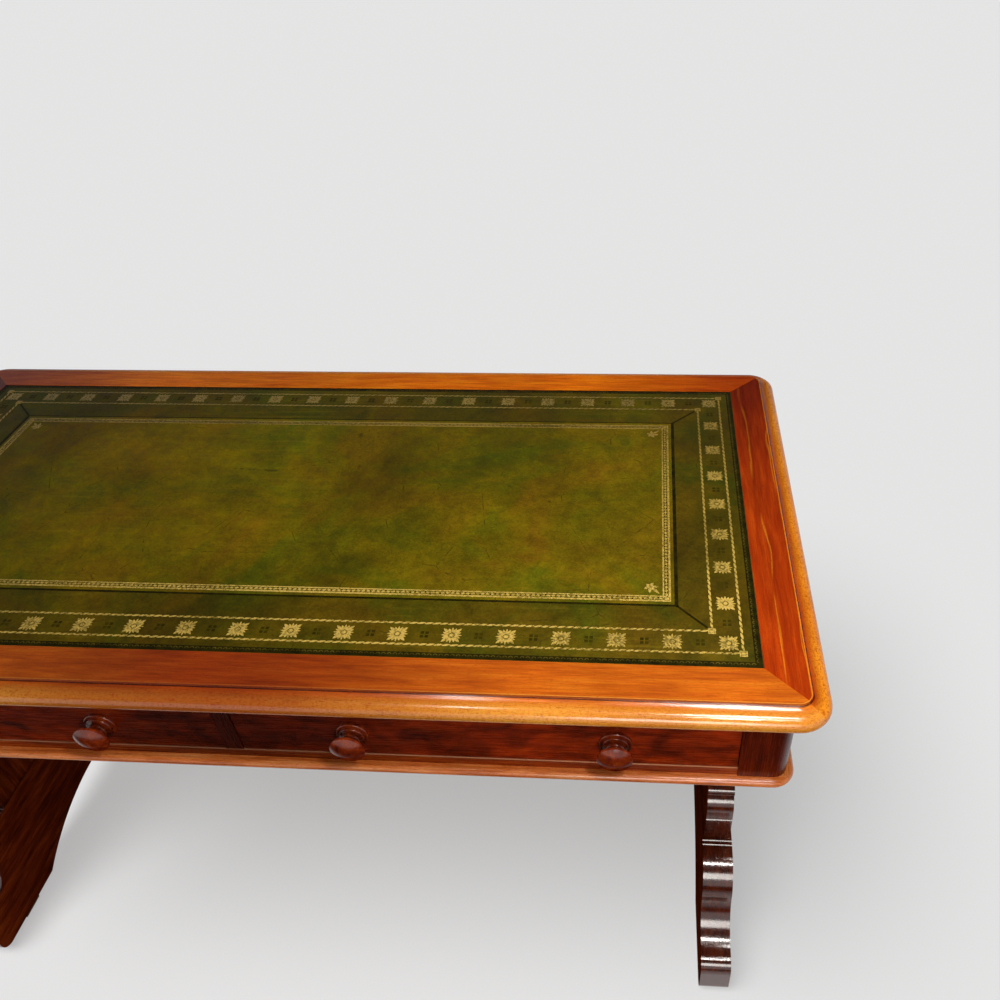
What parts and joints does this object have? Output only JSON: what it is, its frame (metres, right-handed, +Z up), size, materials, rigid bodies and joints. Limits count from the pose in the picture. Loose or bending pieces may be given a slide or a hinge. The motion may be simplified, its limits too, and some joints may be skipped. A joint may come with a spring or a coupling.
{
  "type": "writing table",
  "caption": "Mahogany writing table with a gilt-tooled green leather top, frieze drawers with turned knobs and shaped end supports joined by a turned stretcher.",
  "frame": {"origin": "on the floor under the middle of the table", "axes": "+X to the right of a person sitting at the drawers, +Y from the drawers to the back, +Z up"},
  "size_m": [1.398, 0.776, 0.74],
  "materials": {
    "mahogany_top": "french polished, worn",
    "mahogany_frieze": "french polished, dark",
    "mahogany_stand": "french polished, dark",
    "turned_mahogany": "turned and polished",
    "oak_lining": "planed, unpolished",
    "pine": "sawn and planed, unpolished",
    "leather_green": "waxed hide with gilt and blind tooling",
    "screw_steel": "plain steel"
  },
  "bodies": {
    "table": {"back_bottom_rail": "mahogany_frieze", "back_divider": "mahogany_frieze", "back_top_rail": "mahogany_frieze", "base_moulding_back": "mahogany_frieze", "base_moulding_front": "mahogany_frieze", "base_moulding_left": "mahogany_frieze", "base_moulding_right": "mahogany_frieze", "bearer_left": "mahogany_stand", "bearer_right": "mahogany_stand", "bearer_screws": "screw_steel", "drawer_guides": "pine", "drawer_kickers": "pine", "drawer_runner_centre": "pine", "drawer_runner_left": "pine", "drawer_runner_right": "pine", "drawer_stops": "pine", "dummy_front_left": "mahogany_frieze", "dummy_front_right": "mahogany_frieze", "dummy_knobs": "turned_mahogany", "end_rail_left": "mahogany_frieze", "end_rail_right": "mahogany_frieze", "foot_left": "mahogany_stand", "foot_pads": "mahogany_stand", "foot_right": "mahogany_stand", "front_bottom_rail": "mahogany_frieze", "front_divider": "mahogany_frieze", "front_top_rail": "mahogany_frieze", "leather_border_back": "leather_green", "leather_border_front": "leather_green", "leather_border_left": "leather_green", "leather_border_right": "leather_green", "leather_centre": "leather_green", "post_back_left": "mahogany_frieze", "post_back_right": "mahogany_frieze", "post_front_left": "mahogany_frieze", "post_front_right": "mahogany_frieze", "standard_left": "mahogany_stand", "standard_right": "mahogany_stand", "stretcher": "turned_mahogany", "stretcher_bosses": "turned_mahogany", "top_core_board": "pine", "top_frame_back": "mahogany_top", "top_frame_front": "mahogany_top", "top_frame_left": "mahogany_top", "top_frame_right": "mahogany_top", "top_screws": "screw_steel"},
    "left_drawer": {"left_drawer_back": "oak_lining", "left_drawer_bottom": "oak_lining", "left_drawer_front": "mahogany_frieze", "left_drawer_knobs": "turned_mahogany", "left_drawer_side_left": "oak_lining", "left_drawer_side_right": "oak_lining"},
    "right_drawer": {"right_drawer_back": "oak_lining", "right_drawer_bottom": "oak_lining", "right_drawer_front": "mahogany_frieze", "right_drawer_knobs": "turned_mahogany", "right_drawer_side_left": "oak_lining", "right_drawer_side_right": "oak_lining"}
  },
  "joints": [
    {"name": "left_drawer_slide", "type": "slide", "parent": "table", "child": "left_drawer", "axis": [0, -1, 0], "range_m": [0, 0.36]},
    {"name": "right_drawer_slide", "type": "slide", "parent": "table", "child": "right_drawer", "axis": [0, -1, 0], "range_m": [0, 0.36]}
  ]
}
